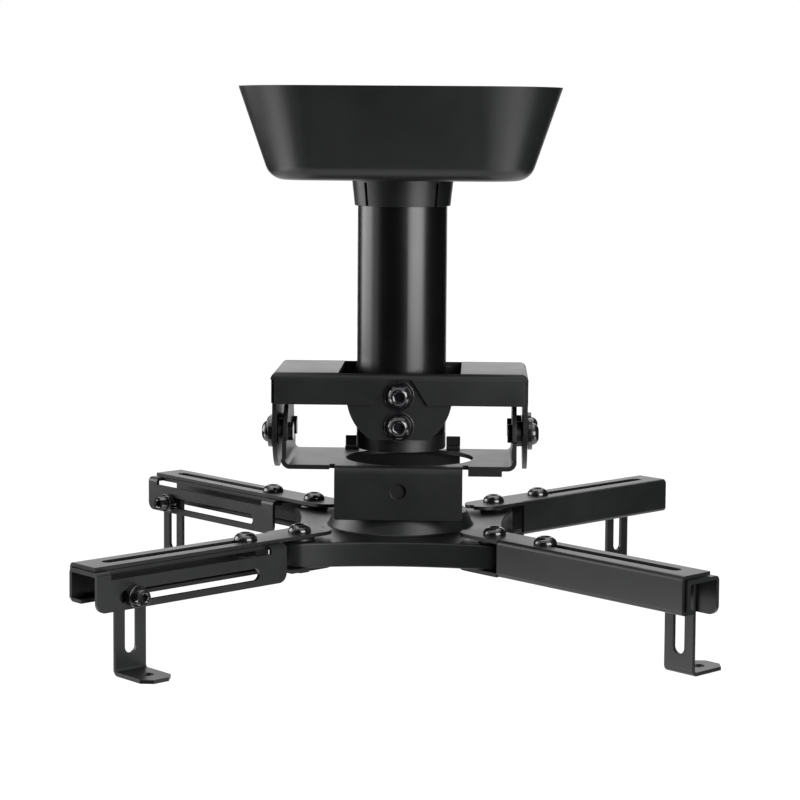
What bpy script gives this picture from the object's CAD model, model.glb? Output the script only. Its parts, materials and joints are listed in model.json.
import json
import math
from collections import namedtuple

import bmesh
import bpy
from bpy.props import FloatProperty, FloatVectorProperty, IntProperty, PointerProperty
from mathutils import Matrix, Vector


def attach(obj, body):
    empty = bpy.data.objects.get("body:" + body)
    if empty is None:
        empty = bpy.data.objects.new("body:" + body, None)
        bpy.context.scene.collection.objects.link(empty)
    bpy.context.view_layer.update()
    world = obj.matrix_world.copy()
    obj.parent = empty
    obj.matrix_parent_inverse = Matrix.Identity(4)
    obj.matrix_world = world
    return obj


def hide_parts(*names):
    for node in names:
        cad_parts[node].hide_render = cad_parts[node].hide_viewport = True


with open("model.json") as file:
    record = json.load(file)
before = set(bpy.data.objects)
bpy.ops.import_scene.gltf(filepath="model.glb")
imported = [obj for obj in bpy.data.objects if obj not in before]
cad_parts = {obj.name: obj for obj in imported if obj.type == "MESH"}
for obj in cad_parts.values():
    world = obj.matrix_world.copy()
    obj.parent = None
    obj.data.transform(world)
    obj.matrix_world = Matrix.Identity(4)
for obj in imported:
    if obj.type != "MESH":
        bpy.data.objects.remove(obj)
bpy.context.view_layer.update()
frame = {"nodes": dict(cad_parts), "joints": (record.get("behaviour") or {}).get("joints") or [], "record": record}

bl_info = {
    "name": "Projector mount",
    "version": (1, 0, 0),
    "blender": (4, 5, 0),
    "location": "View3D > Sidebar > Mount",
    "description": "Dresses the packed ceiling mount in its finishes and sets up its stage",
    "category": "Object",
}

MM = 0.001
ARMS = (1, 2, 3, 4)
RECORD = frame["record"]
BODY_OF = {node: body for body, nodes in RECORD["behaviour"]["bodies"].items() for node in nodes}
SLOT_OF = {row["node"]: row["material_slot"] for row in RECORD["subparts"]}
JOINT = {joint["name"]: joint for joint in frame["joints"]}

# A copy of a CAD mesh: corners nearer than this are one, and faces flatter than this are joined
MERGE_DISTANCE = 0.004 * MM
FLAT_ANGLE = math.radians(0.4)
# Edges sharper than this get a rounded edge, and the others are shaded smooth
SHARP_ANGLE = math.radians(32)
# Values of the noise between which a finish drifts from its dark colour to its light one
DRIFT_SPAN = (0.3, 0.7)


def linear(hex_colour):
    """Turn an sRGB hex colour to linear red, green, blue and alpha."""
    channels = [int(hex_colour[start:start + 2], 16) / 255 for start in (1, 3, 5)]
    return [c / 12.92 if c <= 0.04045 else ((c + 0.055) / 1.055) ** 2.4 for c in channels] + [1.0]


def add(tree, kind, inputs=None, **settings):
    """Add a node with its settings, and set each input or link it to a socket."""
    node = tree.nodes.new(kind)
    for name, value in settings.items():
        setattr(node, name, value)
    for name, value in (inputs or {}).items():
        if isinstance(value, bpy.types.NodeSocket):
            tree.links.new(value, node.inputs[name])
        else:
            node.inputs[name].default_value = value
    return node


# Settings that a user would change


def colour_property(name, description, hex_colour):
    """A colour setting with its default given in hex."""
    return FloatVectorProperty(
        name=name, description=description, default=linear(hex_colour), size=4, subtype="COLOR", min=0, max=1
    )


def length_property(name, description, millimetres):
    """A length setting with its default given in millimetres."""
    return FloatProperty(
        name=name, description=description, default=millimetres * MM, unit="LENGTH", precision=5
    )


def share_property(name, description, default):
    """A setting between 0 and 1."""
    return FloatProperty(name=name, description=description, default=default, min=0, max=1, subtype="FACTOR")


class MountFinish(bpy.types.PropertyGroup):
    """Colours, gloss and grain of the finishes"""

    coat_dark: colour_property("Coat, dark", "Powder coat where it is thickest", "#111212")
    coat_light: colour_property("Coat, light", "Powder coat where it is thinnest", "#191A1A")
    coat_roughness: share_property("Coat roughness", "Roughness of the powder coat", 0.38)
    coat_grain: length_property("Coat grain", "Width of a grain of the powder coat", 0.6)
    coat_drift: length_property("Coat drift", "Width of a patch of thicker coat", 34)
    enamel_dark: colour_property("Enamel, dark", "Pipe enamel, dark patches", "#060606")
    enamel_light: colour_property("Enamel, light", "Pipe enamel, light patches", "#0A0A0B")
    enamel_roughness: share_property("Enamel roughness", "Roughness of the pipe's enamel", 0.26)
    cover_dark: colour_property("Cover, dark", "Moulded cover, dark patches", "#111212")
    cover_light: colour_property("Cover, light", "Moulded cover, light patches", "#171818")
    cover_roughness: share_property("Cover roughness", "Roughness of the moulded cover", 0.36)
    cover_grain: length_property("Cover grain", "Width of a pit of the eroded mould", 0.5)
    screw_dark: colour_property("Screw, dark", "Black oxide in the hollows", "#0A0A0C")
    screw_light: colour_property("Screw, light", "Black oxide on the crowns", "#1A1A1D")
    screw_roughness: share_property("Screw roughness", "Roughness of the black oxide", 0.17)
    bush_dark: colour_property("Bush, dark", "Nylon bush, dark streaks", "#0A0A0B")
    bush_light: colour_property("Bush, light", "Nylon bush, light streaks", "#131314")
    bush_roughness: share_property("Bush roughness", "Roughness of the nylon", 0.4)


class MountShape(bpy.types.PropertyGroup):
    """Sizes of the details that the looks add"""

    sheet_edge: length_property("Sheet edge", "Radius of a cut sheet edge under its coat", 0.5)
    pressed_edge: length_property("Pressed edge", "Radius of the edges of the pressed hub", 1.1)
    small_edge: length_property("Small edge", "Radius of the edges of washers and nuts", 0.3)
    edge_segments: IntProperty(
        name="Edge segments", description="Steps in a rounded edge", default=3, min=1, max=6
    )
    spin_seed: IntProperty(name="Screw seed", description="Seed of the screws' turn", default=7, min=0)


class MountStage(bpy.types.PropertyGroup):
    """Camera and room of the picture"""

    camera_distance: length_property("Camera distance", "From the pipe's axis to the lens", 1250)
    camera_height: length_property("Camera height", "Height of the lens from the ceiling face", -20)
    camera_side: FloatProperty(
        name="Camera side", description="Turn of the camera round the pipe",
        default=math.radians(2), subtype="ANGLE",
    )
    camera_pitch: FloatProperty(
        name="Camera pitch", description="How far the camera looks down",
        default=math.radians(4.5), subtype="ANGLE",
    )
    camera_lean: FloatProperty(
        name="Camera lean", description="Roll of the camera",
        default=math.radians(0.4), subtype="ANGLE",
    )
    lens: FloatProperty(name="Lens", description="Focal length in millimetres", default=100.9, min=10)
    shift_x: FloatProperty(name="Shift across", description="Sideways shift of the lens", default=-0.0025)
    shift_y: FloatProperty(name="Shift up", description="Upward shift of the lens", default=-0.124)
    floor_drop: length_property("Floor drop", "Depth of the floor under the ceiling face", 1250)


# Finishes


def new_material(name):
    """An empty node material with its shader."""
    material = bpy.data.materials.new(name)
    material.use_nodes = True
    tree = material.node_tree
    return material, tree, tree.nodes["Principled BSDF"]


def mottled(tree, shader, dark, light, roughness, spread, patch):
    """Give a shader a colour and a roughness that drift in patches, and return the coordinates used."""
    place = add(tree, "ShaderNodeTexCoord").outputs["Object"]
    drift = add(
        tree, "ShaderNodeTexNoise",
        {"Vector": place, "Scale": 1 / patch, "Detail": 4.0, "Roughness": 0.6},
    ).outputs["Fac"]
    low, high = DRIFT_SPAN
    tint = add(tree, "ShaderNodeValToRGB", {"Fac": drift})
    for element, position, colour in zip(tint.color_ramp.elements, DRIFT_SPAN, (dark, light)):
        element.position = position
        element.color = colour
    rough = add(
        tree, "ShaderNodeMapRange",
        {
            "Value": drift, "From Min": low, "From Max": high,
            "To Min": roughness - spread, "To Max": roughness + spread,
        },
    )
    tree.links.new(tint.outputs["Color"], shader.inputs["Base Color"])
    tree.links.new(rough.outputs["Result"], shader.inputs["Roughness"])
    return place


def grained(tree, shader, place, grain, depth, detail):
    """Give a shader a fine relief of the given grain width and depth."""
    relief = add(
        tree, "ShaderNodeTexNoise",
        {"Vector": place, "Scale": 1 / grain, "Detail": detail, "Roughness": 0.5},
    ).outputs["Fac"]
    bump = add(tree, "ShaderNodeBump", {"Height": relief, "Strength": 1.0, "Distance": depth})
    tree.links.new(bump.outputs["Normal"], shader.inputs["Normal"])


def powder_coat(finish):
    """Black powder coat baked on folded steel: a satin skin with a faint orange peel."""
    material, tree, shader = new_material("satin_black_powder_coat")
    shader.inputs["Specular IOR Level"].default_value = 0.42
    place = mottled(
        tree, shader, finish.coat_dark, finish.coat_light,
        roughness=finish.coat_roughness, spread=0.03, patch=finish.coat_drift,
    )
    # the real peel is finer than a pixel, so it is drawn a little coarser
    grained(tree, shader, place, grain=finish.coat_grain, depth=0.006 * MM, detail=2.0)
    return material


def enamel(finish):
    """Black enamel on the drawn pipe: smooth and glossy, so it mirrors the lights as bands."""
    material, tree, shader = new_material("gloss_black_enamel")
    place = mottled(
        tree, shader, finish.enamel_dark, finish.enamel_light,
        roughness=finish.enamel_roughness, spread=0.02, patch=finish.coat_drift,
    )
    grained(tree, shader, place, grain=finish.coat_grain, depth=0.002 * MM, detail=2.0)
    return material


def moulded_plastic(finish):
    """Black ABS from a spark-eroded mould: even, dull, with fine pits."""
    material, tree, shader = new_material("moulded_black_abs")
    place = mottled(
        tree, shader, finish.cover_dark, finish.cover_light,
        roughness=finish.cover_roughness, spread=0.02, patch=finish.coat_drift,
    )
    grained(tree, shader, place, grain=finish.cover_grain, depth=0.008 * MM, detail=3.0)
    return material


def black_oxide(finish):
    """Black oxide on steel screws: thin and oiled, so the steel's gloss shows through."""
    material, tree, shader = new_material("black_oxide_steel")
    shader.inputs["Specular IOR Level"].default_value = 0.9
    place = mottled(
        tree, shader, finish.screw_dark, finish.screw_light,
        roughness=finish.screw_roughness, spread=0.05, patch=2.5 * MM,
    )
    grained(tree, shader, place, grain=0.35 * MM, depth=0.003 * MM, detail=2.0)
    return material


def nylon(finish):
    """Black nylon of the bush and slip washer: waxy and dull, with flow marks."""
    material, tree, shader = new_material("black_nylon")
    place = mottled(
        tree, shader, finish.bush_dark, finish.bush_light,
        roughness=finish.bush_roughness, spread=0.05, patch=9 * MM,
    )
    grained(tree, shader, place, grain=0.7 * MM, depth=0.01 * MM, detail=3.0)
    return material


FINISH_MAKERS = {
    "black_powder_coat": powder_coat,
    "black_cover_plastic": moulded_plastic,
    "black_screw_steel": black_oxide,
    "black_bush_plastic": nylon,
}
# The pipe's coat is smoother than the sheets', so it has a finish of its own
OWN_FINISH_MAKERS = {"pipe": enamel}
made_finishes = {}


def finish_of(node):
    """The material of a node's finish, made once."""
    maker = OWN_FINISH_MAKERS.get(node, FINISH_MAKERS[SLOT_OF[node]])
    if maker not in made_finishes:
        made_finishes[maker] = maker(bpy.context.scene.mount_finish)
    return made_finishes[maker]


# Pieces


def place_piece(piece, node):
    """Let a finished piece stand for its CAD node and move with that node's body."""
    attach(piece, BODY_OF[node])
    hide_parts(node)


def new_piece(name, mesh):
    """A piece in the scene from a finished mesh."""
    piece = bpy.data.objects.new(name, mesh)
    bpy.context.scene.collection.objects.link(piece)
    return piece


def smooth(mesh):
    """Shade a mesh smooth, apart from its sharp edges."""
    mesh.shade_smooth()
    mesh.set_sharp_from_angle(angle=SHARP_ANGLE)


def merged_copy(node):
    """A node's mesh with its loose triangles joined to plain faces."""
    shape = bmesh.new()
    shape.from_mesh(frame["nodes"][node].data)
    bmesh.ops.remove_doubles(shape, verts=shape.verts, dist=MERGE_DISTANCE)
    bmesh.ops.dissolve_limit(shape, angle_limit=FLAT_ANGLE, verts=shape.verts, edges=shape.edges)
    return shape


def finished_copy(node, edge, segments):
    """A node's own shape with rounded edges, in its finish."""
    shape = merged_copy(node)
    mesh = bpy.data.meshes.new(f"{node}_finished")
    shape.to_mesh(mesh)
    shape.free()
    for layer in [item for item in mesh.attributes if item.name == "custom_normal"]:
        mesh.attributes.remove(layer)
    mesh.materials.append(finish_of(node))
    smooth(mesh)
    piece = new_piece(f"{node}_finished", mesh)
    bevel = piece.modifiers.new("edge_round", "BEVEL")
    bevel.width = edge
    bevel.segments = segments
    bevel.limit_method = "ANGLE"
    bevel.angle_limit = SHARP_ANGLE
    bevel.harden_normals = True
    place_piece(piece, node)


def solids_of(node):
    """The corners of each separate solid in a node, in the mesh's own order, which is the same each run."""
    shape = merged_copy(node)
    seen = set()
    found = []
    for first in shape.verts:
        if first in seen:
            continue
        seen.add(first)
        front = [first]
        corners = []
        while front:
            vertex = front.pop()
            corners.append(vertex.co.copy())
            for edge in vertex.link_edges:
                other = edge.other_vert(vertex)
                if other not in seen:
                    seen.add(other)
                    front.append(other)
        found.append(corners)
    shape.free()
    return found


# Screws: one node tree stands them on their seats, which are read from the CAD solids

HEAD_SIDES = 48
SHANK_SIDES = 32
SOCKET_SIDES = 6
DOME_STEPS = 7
# A head's shape, its height in millimetres and its shank's radius in millimetres, as in the CAD
ScrewKind = namedtuple("ScrewKind", "head height shank")
ROLL_SCREW = ScrewKind("button_head", 4.6, 4)
TILT_SCREW = ScrewKind("button_head", 3.6, 3)
ARM_SCREW = ScrewKind("button_head", 3.8, 3)
FOOT_SCREW = ScrewKind("cap_head", 5, 2.5)
Seat = namedtuple("Seat", "place direction head_radius shank_length")


def button_profile():
    """Side of a button head from its rim to the flat round its socket, in shares of its size."""
    rim, flat = 0.1, 0.53
    end = math.acos(flat)
    angles = [end * step / DOME_STEPS for step in range(DOME_STEPS + 1)]
    dome = [(math.cos(angle), rim + (1 - rim) * math.sin(angle) / math.sin(end)) for angle in angles]
    return [(1.0, 0.0), *dome]


def cap_profile():
    """Side of a cap head: straight, with a rounded edge round its flat top."""
    return [(0.96, 0.0), (1.0, 0.04), (1.0, 0.86), (0.97, 0.95), (0.9, 1.0), (0.7, 1.0)]


def hexagon_radius(radius, angle):
    """Distance from the middle of a hexagon to its side in a direction."""
    sector = 2 * math.pi / SOCKET_SIDES
    return radius * math.cos(sector / 2) / math.cos(angle % sector - sector / 2)


def head_template(name, profile, socket, depth, knurl):
    """A screw head of radius 1 and height 1 with a hexagon socket, standing on z 0.

    The socket's radius and depth, and the knurl's depth, are shares of the head's size.
    """
    shape = bmesh.new()
    spokes = [2 * math.pi * side / HEAD_SIDES for side in range(HEAD_SIDES)]
    mouth, chamfer = 1.14, 0.07
    outlines = [
        ([radius * (1 - knurl * (side % 2)) for side in range(HEAD_SIDES)], height)
        for radius, height in profile
    ]
    outlines.append(([socket * mouth] * HEAD_SIDES, 1.0))
    key = [hexagon_radius(socket, angle) for angle in spokes]
    outlines += [(key, 1 - chamfer), (key, 1 - depth)]
    rings = [
        [shape.verts.new((r * math.cos(a), r * math.sin(a), height)) for r, a in zip(radii, spokes)]
        for radii, height in outlines
    ]
    for lower, upper in zip(rings, rings[1:]):
        for side in range(HEAD_SIDES):
            following = (side + 1) % HEAD_SIDES
            shape.faces.new((lower[side], lower[following], upper[following], upper[side]))
    shape.faces.new(reversed(rings[0]))
    shape.faces.new(rings[-1])
    mesh = bpy.data.meshes.new(name)
    shape.to_mesh(mesh)
    shape.free()
    return new_piece(name, mesh)


def screw_tree():
    """A node tree that stands one screw on each point of a mesh, along the point's direction."""
    tree = bpy.data.node_groups.new("screw_set", "GeometryNodeTree")
    sockets = {
        "Seats": "NodeSocketGeometry", "Head": "NodeSocketObject", "Head Radius": "NodeSocketFloat",
        "Head Height": "NodeSocketFloat", "Shank Radius": "NodeSocketFloat",
        "Shank Length": "NodeSocketFloat",
        "Seed": "NodeSocketInt", "Finish": "NodeSocketMaterial",
    }
    for name, kind in sockets.items():
        tree.interface.new_socket(name, in_out="INPUT", socket_type=kind)
    tree.interface.new_socket("Screws", in_out="OUTPUT", socket_type="NodeSocketGeometry")
    given = add(tree, "NodeGroupInput").outputs

    template = add(tree, "GeometryNodeObjectInfo", {"Object": given["Head"]}).outputs["Geometry"]
    size = add(
        tree, "ShaderNodeCombineXYZ",
        {"X": given["Head Radius"], "Y": given["Head Radius"], "Z": given["Head Height"]},
    ).outputs["Vector"]
    head = add(tree, "GeometryNodeTransform", {"Geometry": template, "Scale": size}).outputs["Geometry"]
    rod = add(
        tree, "GeometryNodeMeshCylinder",
        {"Vertices": SHANK_SIDES, "Radius": given["Shank Radius"], "Depth": given["Shank Length"]},
    ).outputs["Mesh"]
    middle = add(tree, "ShaderNodeMath", {0: given["Shank Length"], 1: -0.5}, operation="MULTIPLY").outputs[0]
    drop = add(tree, "ShaderNodeCombineXYZ", {"Z": middle}).outputs["Vector"]
    shank = add(tree, "GeometryNodeTransform", {"Geometry": rod, "Translation": drop}).outputs["Geometry"]
    screw = add(tree, "GeometryNodeJoinGeometry", {"Geometry": head})
    tree.links.new(shank, screw.inputs["Geometry"])

    direction = add(
        tree, "GeometryNodeInputNamedAttribute", {"Name": "direction"}, data_type="FLOAT_VECTOR"
    ).outputs["Attribute"]
    aim = add(tree, "FunctionNodeAlignRotationToVector", {"Vector": direction}, axis="Z").outputs["Rotation"]
    # a tightened screw stops at any turn of its socket, so input 3, the largest turn, is one side of it
    angle = add(
        tree, "FunctionNodeRandomValue",
        {3: 2 * math.pi / SOCKET_SIDES, "Seed": given["Seed"]}, data_type="FLOAT",
    ).outputs[1]
    spin = add(
        tree, "FunctionNodeAxisAngleToRotation", {"Axis": (0, 0, 1), "Angle": angle}
    ).outputs["Rotation"]
    turn = add(
        tree, "FunctionNodeRotateRotation", {"Rotation": aim, "Rotate By": spin}, rotation_space="LOCAL"
    ).outputs["Rotation"]
    placed = add(
        tree, "GeometryNodeInstanceOnPoints",
        {"Points": given["Seats"], "Instance": screw.outputs["Geometry"], "Rotation": turn},
    ).outputs["Instances"]
    real = add(tree, "GeometryNodeRealizeInstances", {"Geometry": placed}).outputs["Geometry"]
    coated = add(tree, "GeometryNodeSetMaterial", {"Geometry": real, "Material": given["Finish"]})
    add(tree, "NodeGroupOutput", {"Screws": coated.outputs["Geometry"]})
    return tree


def away_along(axis):
    """A rule that points a screw away from the middle of the mount along one axis."""
    def rule(middle):
        direction = Vector()
        direction[axis] = math.copysign(1, middle[axis])
        return direction
    return rule


def one_way(direction):
    """A rule that points every screw the same way."""
    return lambda middle: Vector(direction)


def screw_rows():
    """Each screw node with its kind and the rule for its direction."""
    rows = [
        ("roll_screws", ROLL_SCREW, away_along(1)),
        ("tilt_screws", TILT_SCREW, away_along(0)),
        ("hub_screws", ARM_SCREW, one_way((0, 0, 1))),
    ]
    for number in ARMS:
        arm = Vector(JOINT[f"foot_shift_{number}"]["axis"])
        aside = Vector((0, 0, 1)).cross(arm)
        rows.append((f"clamp_screw_{number}", ARM_SCREW, one_way((0, 0, 1))))
        rows.append((f"foot_screw_{number}", FOOT_SCREW, one_way(aside)))
    return rows


def seat_of(corners, kind, rule):
    """The seat of a screw, from the corners of its solid."""
    direction = rule(sum(corners, Vector()) / len(corners))
    turn = direction.to_track_quat("Z", "Y").to_matrix()
    local = [turn.transposed() @ corner for corner in corners]
    low = Vector(min(corner[axis] for corner in local) for axis in range(3))
    high = Vector(max(corner[axis] for corner in local) for axis in range(3))
    place = (low + high) / 2
    place.z = high.z - kind.height * MM
    return Seat(turn @ place, direction, (high.x - low.x) / 2, place.z - low.z)


def stand_screws(node, kind, rule, tree, heads, seed):
    """Stand the screws of a node on their seats and turn them to a plain mesh."""
    seats = [seat_of(corners, kind, rule) for corners in solids_of(node)]
    points = bpy.data.meshes.new(f"{node}_seats")
    points.from_pydata([seat.place for seat in seats], [], [])
    directions = points.attributes.new("direction", "FLOAT_VECTOR", "POINT")
    for item, seat in zip(directions.data, seats):
        item.vector = seat.direction
    piece = new_piece(f"{node}_finished", points)
    modifier = piece.modifiers.new("screw_set", "NODES")
    modifier.node_group = tree
    # the screws of a node are alike, so the first gives the sizes of all
    values = {
        "Head": heads[kind.head],
        "Head Radius": seats[0].head_radius,
        "Head Height": kind.height * MM,
        "Shank Radius": kind.shank * MM,
        "Shank Length": seats[0].shank_length,
        "Seed": seed,
        "Finish": finish_of(node),
    }
    for socket in tree.interface.items_tree:
        if socket.name in values:
            modifier[socket.identifier] = values[socket.name]
    evaluated = piece.evaluated_get(bpy.context.evaluated_depsgraph_get())
    solid = bpy.data.meshes.new_from_object(evaluated)
    piece.modifiers.remove(modifier)
    piece.data = solid
    smooth(solid)
    place_piece(piece, node)


class MOUNT_OT_cover(bpy.types.Operator):
    """Make the ceiling cover"""

    bl_idname = "mount.cover"
    bl_label = "Ceiling cover"

    def execute(self, context):
        shape = context.scene.mount_shape
        finished_copy("ceiling_cover", shape.sheet_edge, shape.edge_segments)
        return {"FINISHED"}


class MOUNT_OT_pipe(bpy.types.Operator):
    """Make the ceiling plate, the pipe, its end bush and its saddles"""

    bl_idname = "mount.pipe"
    bl_label = "Plate and pipe"

    def execute(self, context):
        shape = context.scene.mount_shape
        for node in ("ceiling_plate", "pipe", "pipe_end_bush", "front_saddle", "rear_saddle"):
            finished_copy(node, shape.small_edge, shape.edge_segments)
        return {"FINISHED"}


class MOUNT_OT_brackets(bpy.types.Operator):
    """Make the folded brackets, the roll plates and the yoke"""

    bl_idname = "mount.brackets"
    bl_label = "Brackets and yoke"

    def execute(self, context):
        shape = context.scene.mount_shape
        for node in ("upper_bracket", "front_roll_plate", "rear_roll_plate", "lower_bracket", "yoke"):
            finished_copy(node, shape.sheet_edge, shape.edge_segments)
        return {"FINISHED"}


class MOUNT_OT_hub(bpy.types.Operator):
    """Make the pressed hub and its swivel"""

    bl_idname = "mount.hub"
    bl_label = "Hub and swivel"

    def execute(self, context):
        shape = context.scene.mount_shape
        finished_copy("hub", shape.pressed_edge, shape.edge_segments)
        for node in ("swivel_bush", "swivel_washer", "hub_spacers"):
            finished_copy(node, shape.small_edge, shape.edge_segments)
        return {"FINISHED"}


class MOUNT_OT_arms(bpy.types.Operator):
    """Make the four arms with their slides and feet"""

    bl_idname = "mount.arms"
    bl_label = "Arms and feet"

    def execute(self, context):
        shape = context.scene.mount_shape
        for number in ARMS:
            for kind in ("arm_channel", "arm_slide", "foot"):
                finished_copy(f"{kind}_{number}", shape.sheet_edge, shape.edge_segments)
        return {"FINISHED"}


class MOUNT_OT_screws(bpy.types.Operator):
    """Stand the button and cap screws on their seats"""

    bl_idname = "mount.screws"
    bl_label = "Screws"

    def execute(self, context):
        heads = {
            "button_head": head_template("button_head", button_profile(), socket=0.44, depth=0.55, knurl=0),
            "cap_head": head_template("cap_head", cap_profile(), socket=0.55, depth=0.5, knurl=0.02),
        }
        tree = screw_tree()
        seed = context.scene.mount_shape.spin_seed
        for count, (node, kind, rule) in enumerate(screw_rows()):
            stand_screws(node, kind, rule, tree, heads, seed + count)
        for template in heads.values():
            bpy.data.objects.remove(template)
        return {"FINISHED"}


class MOUNT_OT_fasteners(bpy.types.Operator):
    """Make the washers, spacers, collars and nuts"""

    bl_idname = "mount.fasteners"
    bl_label = "Washers and nuts"

    def execute(self, context):
        shape = context.scene.mount_shape
        kinds = ["roll_washers", "roll_nuts", "tilt_washers", "tilt_spacers", "tilt_nuts", "hub_nuts"]
        for number in ARMS:
            for kind in ("clamp_nut", "foot_collar", "foot_nut"):
                kinds.append(f"{kind}_{number}")
        for node in kinds:
            finished_copy(node, shape.small_edge, shape.edge_segments)
        return {"FINISHED"}


# Stage

# A strength of 1 is white: the room lights the mount with the first and is seen with the second
ROOM_LIGHT = 0.5
ROOM_SEEN = 1.0
# A little over white, so that the far floor is as white as the room behind it
FLOOR_GLOW = 1.15
# How much of the floor's look is that glow: the rest is paper, which keeps the shadow
FLOOR_GLOW_SHARE = 0.85
FLOOR_HALF_WIDTH = 40.0
CARD_BOTTOM = -1.24
CARD_TOP = 1.7
# Each card stands between two points of its top edge, and its foot is set in from them
Card = namedtuple("Card", "start end inset")
CARDS = {
    "front_card": Card((-2.4, -2.0), (0.5, -2.0), 1.0),
    "right_card": Card((1.6, -1.1), (1.6, 1.2), 0),
    "left_card": Card((-1.7, 1.6), (-1.7, -0.1), 0),
    "back_right_card": Card((1.6, 1.2), (0.85, 2.1), 0),
    "back_left_card": Card((-0.85, 2.1), (-1.7, 1.6), 0),
}
# What the lights face
MOUNT_MIDDLE = (0, 0, -0.35)
PIPE_MIDDLE = (0, 0, -0.1)
SENSOR_WIDTH = 36


def soft_light(name, place, target, width, height, watts):
    """A rectangular soft light that faces a target."""
    lamp = bpy.data.lights.new(name, "AREA")
    lamp.shape = "RECTANGLE"
    lamp.size = width
    lamp.size_y = height
    lamp.energy = watts
    light = bpy.data.objects.new(name, lamp)
    light.location = place
    light.visible_camera = False
    light.rotation_euler = (Vector(target) - Vector(place)).to_track_quat("-Z", "Y").to_euler()
    bpy.context.scene.collection.objects.link(light)


def seen_ray(tree):
    """A factor of 1 for what the camera sees straight, in a gloss or through glass."""
    path = add(tree, "ShaderNodeLightPath")
    gloss = add(
        tree, "ShaderNodeMath",
        {0: path.outputs["Is Camera Ray"], 1: path.outputs["Is Glossy Ray"]}, operation="MAXIMUM",
    )
    return add(
        tree, "ShaderNodeMath",
        {0: gloss.outputs[0], 1: path.outputs["Is Transmission Ray"]}, operation="MAXIMUM",
    ).outputs[0]


def stage_plane(name, corners, material):
    """A flat sheet of the stage through the given corners."""
    mesh = bpy.data.meshes.new(name)
    mesh.from_pydata(corners, [], [(0, 1, 2, 3)])
    mesh.materials.append(material)
    sheet = new_piece(name, mesh)
    return sheet


def around(azimuth_degrees, distance, height):
    """A point round the pipe: azimuth 0 is the front, and 90 the right."""
    angle = math.radians(azimuth_degrees)
    return (math.sin(angle) * distance, -math.cos(angle) * distance, height)


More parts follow.
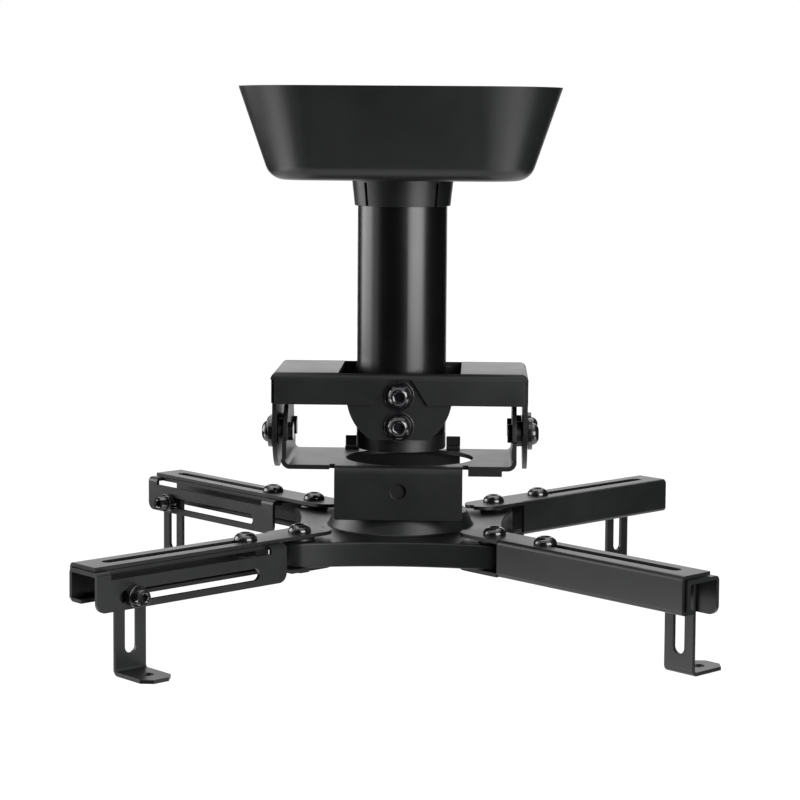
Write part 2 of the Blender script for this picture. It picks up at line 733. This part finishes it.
class MOUNT_OT_stage(bpy.types.Operator):
    """Set up the floor, the lights, the dark cards and the camera"""

    bl_idname = "mount.stage"
    bl_label = "Stage"

    def execute(self, context):
        stage = context.scene.mount_stage
        self.make_room(context)
        self.make_floor(stage)
        self.make_cards()
        self.make_lights()
        self.make_camera(context, stage)
        return {"FINISHED"}

    def make_room(self, context):
        """White all round for what the camera sees, and a plain level for the rest."""
        world = bpy.data.worlds.new("studio")
        context.scene.world = world
        world.use_nodes = True
        tree = world.node_tree
        level = add(
            tree, "ShaderNodeMapRange",
            {"Value": seen_ray(tree), "To Min": ROOM_LIGHT, "To Max": ROOM_SEEN},
        ).outputs["Result"]
        tree.links.new(level, tree.nodes["Background"].inputs["Strength"])
        tree.nodes["Background"].inputs["Color"].default_value = linear("#FFFFFF")

    def make_floor(self, stage):
        """A wide white paper that keeps the mount's shadow."""
        paper, tree, shader = new_material("white_paper_floor")
        shader.inputs["Base Color"].default_value = linear("#F4F4F4")
        shader.inputs["Roughness"].default_value = 0.9
        glow = add(tree, "ShaderNodeEmission", {"Color": linear("#FFFFFF"), "Strength": FLOOR_GLOW})
        seen = add(tree, "ShaderNodeMath", {0: seen_ray(tree), 1: FLOOR_GLOW_SHARE}, operation="MULTIPLY")
        mix = add(
            tree, "ShaderNodeMixShader",
            {0: seen.outputs[0], 1: shader.outputs["BSDF"], 2: glow.outputs["Emission"]},
        )
        tree.links.new(mix.outputs["Shader"], tree.nodes["Material Output"].inputs["Surface"])
        far, drop = FLOOR_HALF_WIDTH, -stage.floor_drop
        corners = [(-far, -far, drop), (far, -far, drop), (far, far, drop), (-far, far, drop)]
        stage_plane("floor", corners, paper)

    def make_cards(self):
        """Black cards round the mount, which its finishes mirror and the camera doesn't see."""
        felt, _, shader = new_material("black_felt_card")
        shader.inputs["Base Color"].default_value = linear("#080808")
        shader.inputs["Roughness"].default_value = 1.0
        for name, (start, end, inset) in CARDS.items():
            top = [(*start, CARD_TOP), (*end, CARD_TOP)]
            foot = [(end[0], end[1] + inset, CARD_BOTTOM), (start[0], start[1] + inset, CARD_BOTTOM)]
            sheet = stage_plane(name, top + foot, felt)
            sheet.visible_camera = False
            sheet.visible_shadow = False

    def make_lights(self):
        """Soft boxes above and behind, and a high and a low one on each side."""
        above, behind = (0, 0.15, 1.1), (0, 2.2, 0.5)
        soft_light("top_box", above, MOUNT_MIDDLE, width=1.3, height=1.3, watts=9)
        soft_light("back_box", behind, MOUNT_MIDDLE, width=2.6, height=1.1, watts=4.6)
        soft_light("left_box", around(-103, 1.3, 0.13), PIPE_MIDDLE, width=1.0, height=0.85, watts=13)
        soft_light("left_low_box", around(-82, 1.3, -0.9), MOUNT_MIDDLE, width=1.1, height=0.45, watts=4.6)
        soft_light("right_box", around(37, 1.45, 0.13), PIPE_MIDDLE, width=1.15, height=0.85, watts=24)
        soft_light("right_low_box", around(70, 1.3, -0.9), MOUNT_MIDDLE, width=0.8, height=0.45, watts=2.7)

    def make_camera(self, context, stage):
        """A camera at the photograph's place, level enough to keep the pipe upright."""
        camera = bpy.data.objects.new("camera", bpy.data.cameras.new("camera"))
        context.scene.collection.objects.link(camera)
        side = stage.camera_side
        reach = stage.camera_distance
        camera.location = (math.sin(side) * reach, -math.cos(side) * reach, stage.camera_height)
        turn = Matrix.Rotation(side, 3, "Z") @ Matrix.Rotation(math.pi / 2 - stage.camera_pitch, 3, "X")
        turn = turn @ Matrix.Rotation(stage.camera_lean, 3, "Z")
        camera.rotation_euler = turn.to_euler()
        camera.data.lens = stage.lens
        camera.data.sensor_width = SENSOR_WIDTH
        camera.data.shift_x = stage.shift_x
        camera.data.shift_y = stage.shift_y
        context.scene.camera = camera
        context.scene.view_settings.view_transform = "Standard"


class MOUNT_PT_panel(bpy.types.Panel):
    """List the steps and settings of the mount"""

    bl_idname = "MOUNT_PT_panel"
    bl_label = "Projector mount"
    bl_space_type = "VIEW_3D"
    bl_region_type = "UI"
    bl_category = "Mount"

    def draw(self, context):
        for operator in STEPS:
            self.layout.operator(operator.bl_idname)
        for settings in ("mount_finish", "mount_shape", "mount_stage"):
            group = getattr(context.scene, settings)
            for name in group.bl_rna.properties.keys():
                if name not in ("rna_type", "name"):
                    self.layout.prop(group, name)


STEPS = (
    MOUNT_OT_cover,
    MOUNT_OT_pipe,
    MOUNT_OT_brackets,
    MOUNT_OT_hub,
    MOUNT_OT_arms,
    MOUNT_OT_screws,
    MOUNT_OT_fasteners,
    MOUNT_OT_stage,
)
GROUPS = {"mount_finish": MountFinish, "mount_shape": MountShape, "mount_stage": MountStage}


def register():
    """Register the classes and hang the settings on the scene."""
    for kind in (*GROUPS.values(), *STEPS, MOUNT_PT_panel):
        bpy.utils.register_class(kind)
    for name, group in GROUPS.items():
        setattr(bpy.types.Scene, name, PointerProperty(type=group))


def unregister():
    """Take the settings and the classes away again."""
    for name in GROUPS:
        delattr(bpy.types.Scene, name)
    for kind in (MOUNT_PT_panel, *reversed(STEPS), *GROUPS.values()):
        bpy.utils.unregister_class(kind)


def main():
    """Register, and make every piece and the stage."""
    register()
    for operator in STEPS:
        group, name = operator.bl_idname.split(".")
        getattr(getattr(bpy.ops, group), name)()


if __name__ == "__main__":
    main()
